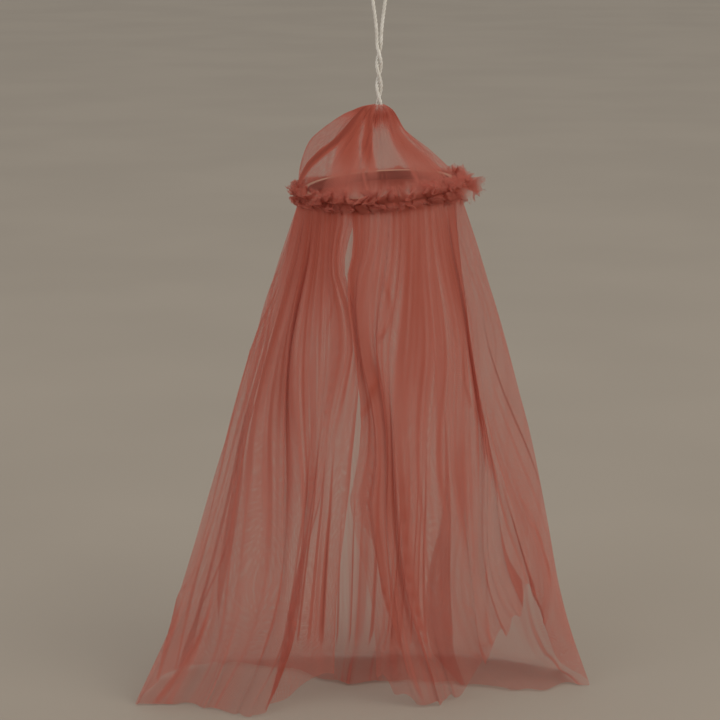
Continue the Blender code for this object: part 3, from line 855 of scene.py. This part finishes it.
def fold_lines(share):
    """The crests of all folds at shares of their length: by the knee to the hem, then on the floor."""
    share = np.asarray(share)[:, None]
    at = np.radians(FOLDS[:, AT])
    top = on_hoop(at, SEAM_RADIUS, -0.0003)
    hem_z = above_floor(HEM_HEIGHT + FOLDS[:, HEM_UP] * MM)
    hem = np.stack([FOLDS[:, HEM_X] * MM, FOLDS[:, HEM_Y] * MM, hem_z], axis=1)
    knee_z = np.full(len(FOLDS), above_floor(KNEE_HEIGHT))
    knee = np.stack([FOLDS[:, KNEE_X] * MM, FOLDS[:, KNEE_Y] * MM, knee_z], axis=1)
    drop = np.linalg.norm(hem - top, axis=1)
    run = share * (drop + FOLDS[:, LIES] * MM)
    down = np.minimum(run / drop, 1)[..., None]
    bend = ((knee_z - top[:, 2]) / (hem_z - top[:, 2]))[:, None]
    points = (
        top * ((down - bend) * (down - 1) / bend)
        + knee * (down * (down - 1) / (bend * (bend - 1)))
        + hem * (down * (down - bend) / (1 - bend))
    )
    outward = points * (1, 1, 0)
    outward /= np.linalg.norm(outward, axis=-1, keepdims=True)
    belly = BELLY_LEFT * np.maximum(np.sin(at), 0) + BELLY_RIGHT * np.maximum(-np.sin(at), 0)
    points += outward * belly[:, None] * np.sin(math.pi * down) * (1 - down)
    points[..., 1] -= np.maximum(run - drop, 0)
    return points


def fold_surface(lines, at, share):
    """The surface through the fold lines, at grids of fold numbers and of shares of their length."""
    step = np.clip(share, 0, 1) * (len(lines) - 1)
    low = np.clip(np.floor(step).astype(int), 0, len(lines) - 2)
    part = (step - low)[..., None]
    fold = np.clip(np.floor(at).astype(int), 0, len(FOLDS) - 2)
    t = (at - fold)[..., None]
    corners = [np.clip(fold + shift, 0, len(FOLDS) - 1) for shift in (-1, 0, 1, 2)]
    before, start, end, after = [lines[low, c] * (1 - part) + lines[low + 1, c] * part for c in corners]
    lead_in, lead_out = (end - before) / 2, (after - start) / 2
    return (
        start * (2 * t**3 - 3 * t**2 + 1)
        + lead_in * (t**3 - 2 * t**2 + t)
        + end * (3 * t**2 - 2 * t**3)
        + lead_out * (t**3 - t**2)
    )


def on_grid(points, column, row):
    """Places on a grid of points, between its rows and columns."""
    columns = np.clip(np.floor(column).astype(int), 0, points.shape[1] - 2)
    rows = np.clip(np.floor(row).astype(int), 0, points.shape[0] - 2)
    right, down = (column - columns)[:, None], (row - rows)[:, None]
    upper = points[rows, columns] * (1 - right) + points[rows, columns + 1] * right
    lower = points[rows + 1, columns] * (1 - right) + points[rows + 1, columns + 1] * right
    return upper * (1 - down) + lower * down


def unit(vectors):
    return vectors / np.maximum(np.linalg.norm(vectors, axis=-1, keepdims=True), 1e-9)


def between_folds(at, column):
    """A column of the table of folds, read smoothly at any fold number."""
    return curve_through(FOLDS[:, [column]], at)[..., 0]


lines = fold_lines(np.linspace(0, 1, PATH_STEPS))
# The cloth turns from hanging to lying in a soft bend
for _ in range(3):
    lines[1:-1] = (lines[:-2] + lines[1:-1] + lines[2:]) / 3

last_fold = len(FOLDS) - 1
at, v = np.meshgrid(np.linspace(0, last_fold, FOLD_COLUMNS * last_fold + 1), np.linspace(0, 1, SKIRT_ROWS))
row = np.clip(np.floor(at).astype(int), 0, last_fold - 1)
part = at - row
inside = smooth(at / 1.2) * smooth((last_fold - at) / 1.2)

# The fold lines wander a little sideways, more the lower they are
wander = 1.20 * waver(at * 0.28, v * 1.8, 2.3) + 0.30 * waver(at * 0.8, v * 3.2, 6.1)
fold_deg = FOLDS[row, AT]
steady = 0.7 * smooth((fold_deg - STEADY_FROM_DEG) / BACK_EDGE_DEG)
steady = 1 - steady * smooth((BACK_TO_DEG - fold_deg) / BACK_EDGE_DEG)
moved = np.clip(at + wander * steady * inside * smooth(v / 0.35), 0, last_fold)
between = (1 - np.cos(2 * math.pi * part)) / 2
share = v * (1 - FOLDS[row, RISE] * MM / SKIRT_LENGTH * 0.7 * between)
hung = fold_surface(lines, moved, share)
across = fold_surface(lines, moved + 0.04, share) - fold_surface(lines, moved - 0.04, share)
downward = fold_surface(lines, moved, share + 0.01) - fold_surface(lines, moved, share - 0.01)
outward = unit(np.cross(across, downward))
sideways = unit(across)
spacing = np.linalg.norm(across, axis=-1) / 0.08
lies = (FOLDS[row, LIES] > 0) * smooth((0.02 - (hung[..., 2] - above_floor(0))) / 0.02)

# Broad folds that lie over, then small pleats within them and fine gathers that fade under the hoop
chance = np.random.default_rng(5)
live = np.clip(0.85 + 1.0 * waver(row * 0.9, v * 1.5, 7.7), 0.0, 1.5)
deep = 0.62 * between_folds(at, DEEP) * MM * between * smooth(v / 0.12)
deep = deep * (0.35 + 0.65 * v) * live * (1 - 0.75 * lies)
deep *= 1 - 0.5 * smooth((v - 0.85) / 0.15)
slide = 0.36 * spacing * between_folds(at, LEAN) * between * smooth(v / 0.45)
slide = slide * (1.1 - 0.3 * v) * live * (1 - 0.6 * lies)
count = FOLDS[row, PLEATS]
first_pleat = np.concatenate([[0], np.cumsum(FOLDS[:-1, PLEATS])])
pleat = first_pleat[row] + part * count
number = np.minimum(np.floor(pleat + 1e-6), first_pleat[-1] - 1).astype(int)
size = chance.uniform(0.2, 1.3, int(first_pleat[-1]))[number]
patchy = np.clip(0.5 + 1.1 * waver(number * 0.7, v * 1.6, 3.3), 0, 1.4)
small = size * smooth(v / 0.08) * patchy * (1 - 0.7 * lies)
trough = (1 - np.cos(2 * math.pi * pleat)) / 2
deep += (0.0005 + 0.0007 * v) * small * trough
slide += spacing / count * 0.18 * small * trough * np.sign(between_folds(at, LEAN) + 1e-6)
gathers = smooth(v / 0.03) * (1 - smooth((v - 0.05) / 0.22))
deep += 0.0005 * gathers * (1 - np.cos(2 * math.pi * 4 * at + 2.5 * waver(at * 1.1, v * 2, 8.8))) / 2
skirt_points = hung - outward * deep[..., None] + sideways * (slide * inside)[..., None]

# The two cut edges follow the parting
up = skirt_points[..., 2] - above_floor(0)
left_edge = np.interp(up[:, 0], PARTING[:, 0] * MM, PARTING[:, 1] * MM)
right_edge = np.interp(up[:, -1], PARTING[:, 0] * MM, PARTING[:, 2] * MM)
skirt_points[..., 0] += (left_edge - skirt_points[:, 0, 0])[:, None] * (1 - smooth(at / 2.0))
skirt_points[..., 0] += (right_edge - skirt_points[:, -1, 0])[:, None] * (1 - smooth((last_fold - at) / 2.0))

# How closely the net lies, and so its painted shade: by the folds, in soft streaks that stand in for the
# shading of folds, at crests, at sharp creases and along the cut edges
shares_down = range(len(NET_CLOSE_AT))
down = np.interp(v, NET_CLOSE_AT, shares_down)
low = np.clip(np.floor(down).astype(int), 0, len(NET_CLOSE_AT) - 2)
closes = np.stack([curve_through(NET_CLOSE[:, [column]], at)[..., 0] for column in shares_down], axis=-1)
closes = [np.take_along_axis(closes, (low + right)[..., None], axis=-1)[..., 0] for right in (0, 1)]
skirt_gather_and_shade = closes[0] + (closes[1] - closes[0]) * smooth(down - low)
left_end, right_end = (np.interp(v, PANEL_ENDS[:, 0], PANEL_ENDS[:, column]) for column in (1, 2))
beyond = smooth((left_end - at) / 0.25 + 0.5) + smooth((at - right_end) / 0.25 + 0.5)
skirt_gather_and_shade = skirt_gather_and_shade * (1 - beyond) + np.minimum(SINGLE_LAYER, skirt_gather_and_shade) * beyond
skirt_gather_and_shade = np.maximum(skirt_gather_and_shade, 0.85 * smooth((0.045 - v) / 0.03))
clouds = 0.14 * waver(at * 0.7 + 3 * v, v * 2.0, 1.2) + 0.15 * waver(at * 4.0 + v, v * 2.2, 4.6)
skirt_gather_and_shade += clouds - 0.15 * lies
# Painted light and shade: streaks of closer, darker net and of sheerer, lighter net stand in for the shading
# of soft folds that the mesh does not carry.
fold_shade_streaks = 0.15 * waver(at * 8.0 - 2 * v, v * 2.6, 2.2) + 0.10 * waver(at * 14.0, v * 3.0, 9.6)
skirt_gather_and_shade += fold_shade_streaks * (0.35 + 0.65 * smooth(v / 0.25))
strength = chance.uniform(0.0, 1.0, int(first_pleat[-1]))[number]
around = np.interp(at, np.arange(len(FOLDS)), FOLDS[:, AT])
behind = smooth((around - LINES_FROM_DEG) / 4) * smooth((BACK_TO_DEG - around) / BACK_EDGE_DEG)
behind = behind * smooth((v - 0.35) / 0.3) * (1 - lies)
crest = 1 - smooth(np.abs(pleat - np.round(pleat)) / 0.16)
back_lines = 1.25 * crest * behind * (strength > 0.2)
front_lines = 0.10 * crease(pleat, 0.2) * small * strength**2 * (1 - behind)
skirt_gather_and_shade += back_lines + front_lines
raised = np.zeros_like(at)
for from_fold, from_down, by_fold, by_down, to_fold, to_down, half_width, thick in CREASES:
    t = np.linspace(0, 1, 48)
    ends, middle = ((1 - t) * (1 - 2 * t), t * (2 * t - 1)), 4 * t * (1 - t)
    crease_at = from_fold * ends[0] + by_fold * middle + to_fold * ends[1]
    crease_down = from_down * ends[0] + by_down * middle + to_down * ends[1]
    near = np.abs(at - by_fold) < 4
    line = on_grid(hung, crease_at * FOLD_COLUMNS, crease_down * (SKIRT_ROWS - 1))
    gap = np.linalg.norm(hung[near][:, None] - line[None], axis=-1)
    nearest = t[gap.argmin(axis=1)]
    ridge = np.zeros_like(at)
    ridge[near] = np.exp(-((gap.min(axis=1) / (half_width * MM)) ** 2)) * smooth(nearest / 0.35)
    ridge[near] *= smooth((1.0 - nearest) / 0.2 + 0.4)
    raised += CREASE_RAISED * ridge
    skirt_gather_and_shade += thick * ridge
skirt_points += outward * raised[..., None]
skirt_gather_and_shade = np.maximum(skirt_gather_and_shade, 0.75 * smooth((0.05 - np.minimum(at, last_fold - at)) / 0.05))
skirt_points[..., 2] = np.maximum(skirt_points[..., 2], above_floor(LEAST_HEIGHT))
net_u, net_v = flat_places(skirt_points, False)
skirt_mesh = cloth_mesh("skirt_net", skirt_points, net_u, net_v, skirt_gather_and_shade, False)
skirt = new_piece("skirt_net", skirt_mesh, tulle)
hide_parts("skirt")
